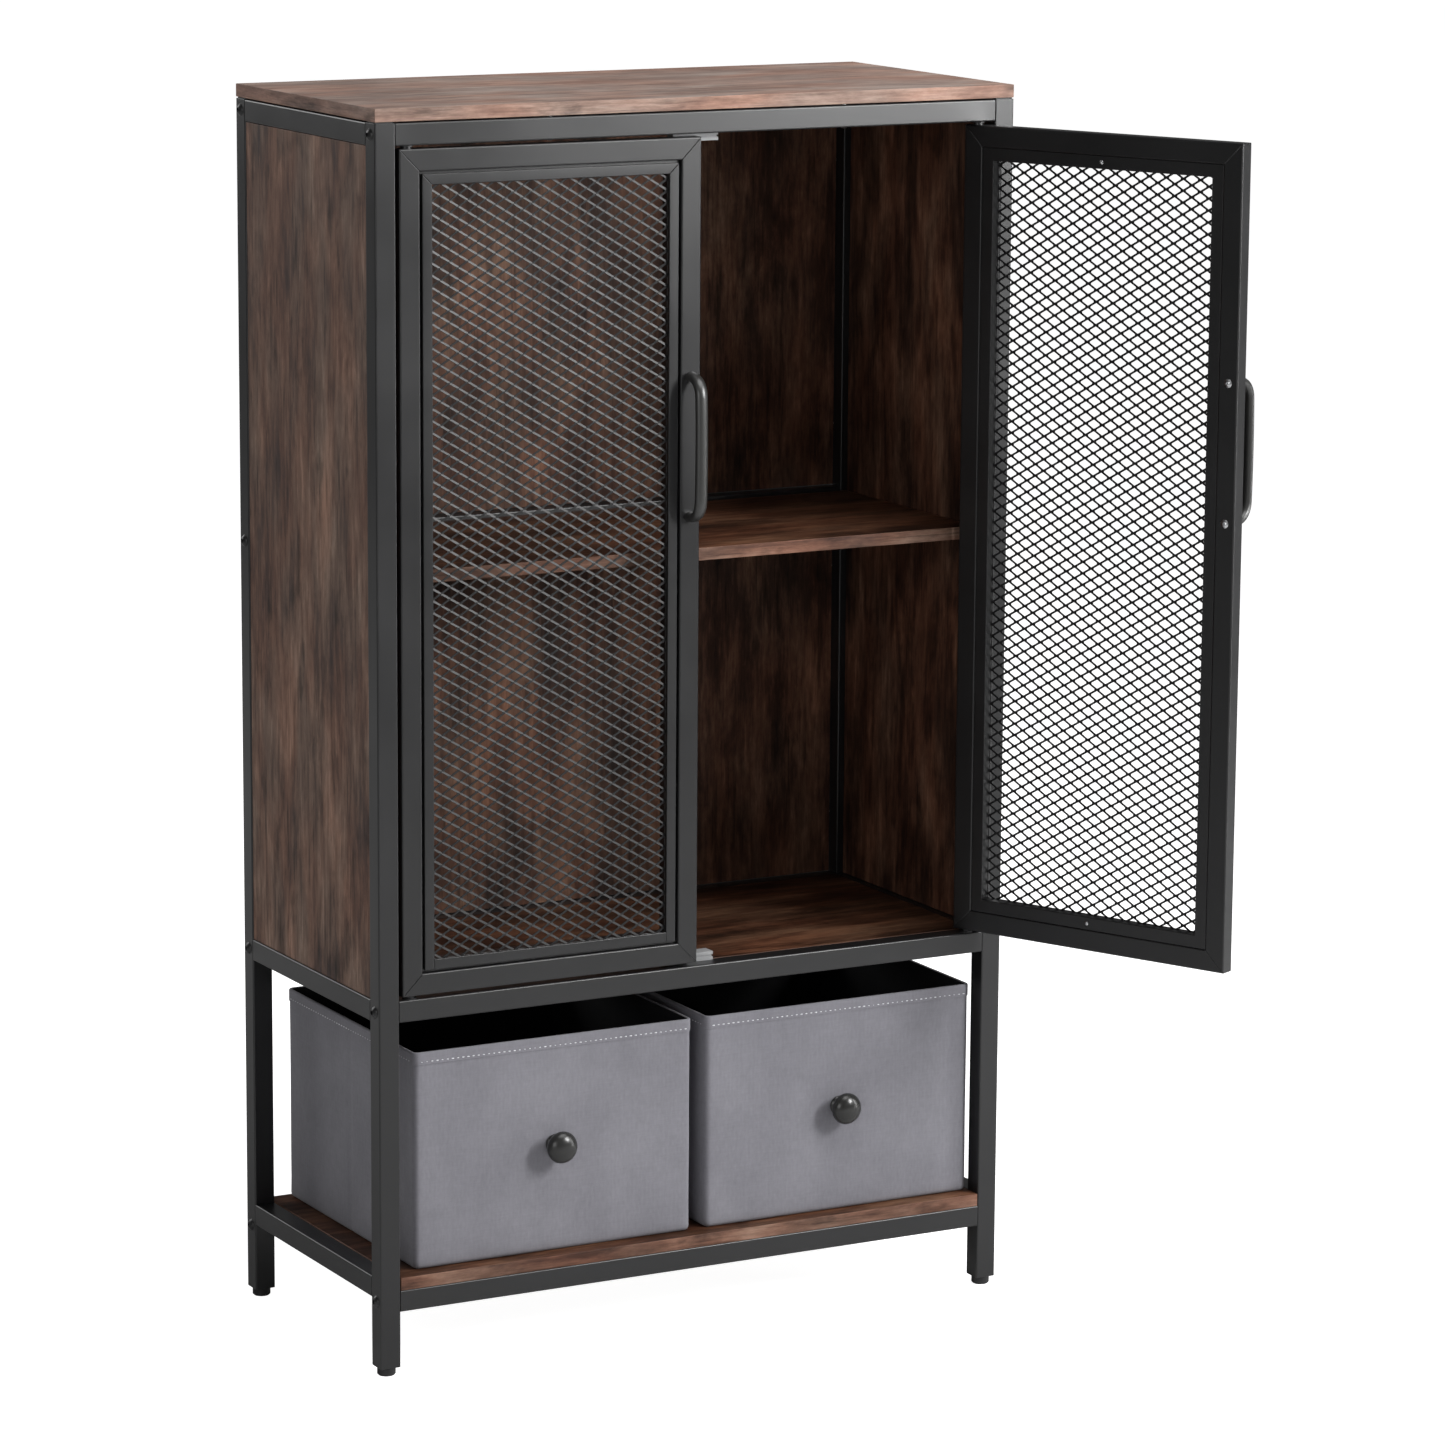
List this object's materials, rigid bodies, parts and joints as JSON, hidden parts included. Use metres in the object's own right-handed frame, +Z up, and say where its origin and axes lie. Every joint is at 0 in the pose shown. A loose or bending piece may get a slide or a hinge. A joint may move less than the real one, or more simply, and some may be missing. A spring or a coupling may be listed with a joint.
{
  "type": "sideboard cabinet",
  "caption": "Tall metal-frame storage cabinet with wood boards, hinged mesh doors with bow handles, an inner shelf and pull-out fabric bins below.",
  "frame": {"origin": "centre of the frame's footprint, on the floor", "axes": "+X to the right seen from the front, the doors and bins face -Y, +Z up"},
  "size_m": [0.7684, 0.5576, 1.15],
  "materials": {
    "frame_steel": "satin charcoal-black powder coat",
    "door_steel": "satin charcoal-black powder coat",
    "mesh_steel": "black powder coat on expanded metal",
    "top_wood": "greyish-brown rustic wood grain foil, matte",
    "shelf_wood": "warm brown rustic wood grain foil, matte",
    "panel_wood": "dark rustic wood grain foil with darker blotches, matte",
    "bin_fabric": "mid-grey woven fabric with pale stitches",
    "bin_base_board": "black loose base board",
    "knob_metal": "dark gunmetal, satin",
    "handle_metal": "black, satin",
    "bolt_black": "black oxide bolt heads",
    "black_plastic": "black moulded plastic",
    "catch_grey": "light grey moulded plastic",
    "screw_steel": "zinc-plated steel"
  },
  "bodies": {
    "cabinet": {"post_front_left": "frame_steel", "post_front_right": "frame_steel", "post_rear_left": "frame_steel", "post_rear_right": "frame_steel", "side_rail_top_left": "frame_steel", "side_rail_mid_left": "frame_steel", "side_rail_low_left": "frame_steel", "side_rail_top_right": "frame_steel", "side_rail_mid_right": "frame_steel", "side_rail_low_right": "frame_steel", "front_rail_top": "frame_steel", "front_rail_mid": "frame_steel", "front_rail_low": "frame_steel", "rear_rail_top": "frame_steel", "rear_rail_shelf": "frame_steel", "rear_rail_mid": "frame_steel", "rear_rail_low": "frame_steel", "top_board": "top_wood", "shelf_board": "shelf_wood", "floor_board": "shelf_wood", "bottom_board": "shelf_wood", "side_panel_left": "panel_wood", "side_panel_right": "panel_wood", "back_panel_upper": "panel_wood", "back_panel_lower": "panel_wood", "panel_dowels": "screw_steel", "shelf_pins": "screw_steel", "tube_end_plugs": "black_plastic", "feet": "black_plastic", "frame_bolts_left": "bolt_black", "frame_bolts_right": "bolt_black", "top_board_screws": "screw_steel", "door_catches": "catch_grey", "pivot_bushes": "black_plastic"},
    "door_left": {"door_left_stile_hinge": "door_steel", "door_left_stile_latch": "door_steel", "door_left_rail_top": "door_steel", "door_left_rail_bottom": "door_steel", "door_left_bead": "door_steel", "door_left_mesh_frame": "door_steel", "door_left_mesh": "mesh_steel", "door_left_pivot_pins": "bolt_black", "door_left_handle": "handle_metal", "door_left_screws": "screw_steel"},
    "door_right": {"door_right_stile_hinge": "door_steel", "door_right_stile_latch": "door_steel", "door_right_rail_top": "door_steel", "door_right_rail_bottom": "door_steel", "door_right_bead": "door_steel", "door_right_mesh_frame": "door_steel", "door_right_mesh": "mesh_steel", "door_right_pivot_pins": "bolt_black", "door_right_handle": "handle_metal", "door_right_screws": "screw_steel"},
    "bin_left": {"bin_left_box": "bin_fabric", "bin_left_base": "bin_base_board", "bin_left_knob": "knob_metal"},
    "bin_right": {"bin_right_box": "bin_fabric", "bin_right_base": "bin_base_board", "bin_right_knob": "knob_metal"}
  },
  "joints": [
    {"name": "door_left_hinge", "type": "hinge", "parent": "cabinet", "child": "door_left", "pos_m": [-0.2915, -0.1425, 0.7334], "axis": [0, 0, -1], "range_deg": [0, 118]},
    {"name": "door_right_hinge", "type": "hinge", "parent": "cabinet", "child": "door_right", "pos_m": [0.2915, -0.1425, 0.7334], "axis": [0, 0, 1], "range_deg": [-115, 3]},
    {"name": "bin_left_slide", "type": "slide", "parent": "cabinet", "child": "bin_left", "axis": [0, -1, 0], "range_m": [0, 0.28]},
    {"name": "bin_right_slide", "type": "slide", "parent": "cabinet", "child": "bin_right", "axis": [0, -1, 0], "range_m": [0, 0.28]}
  ]
}
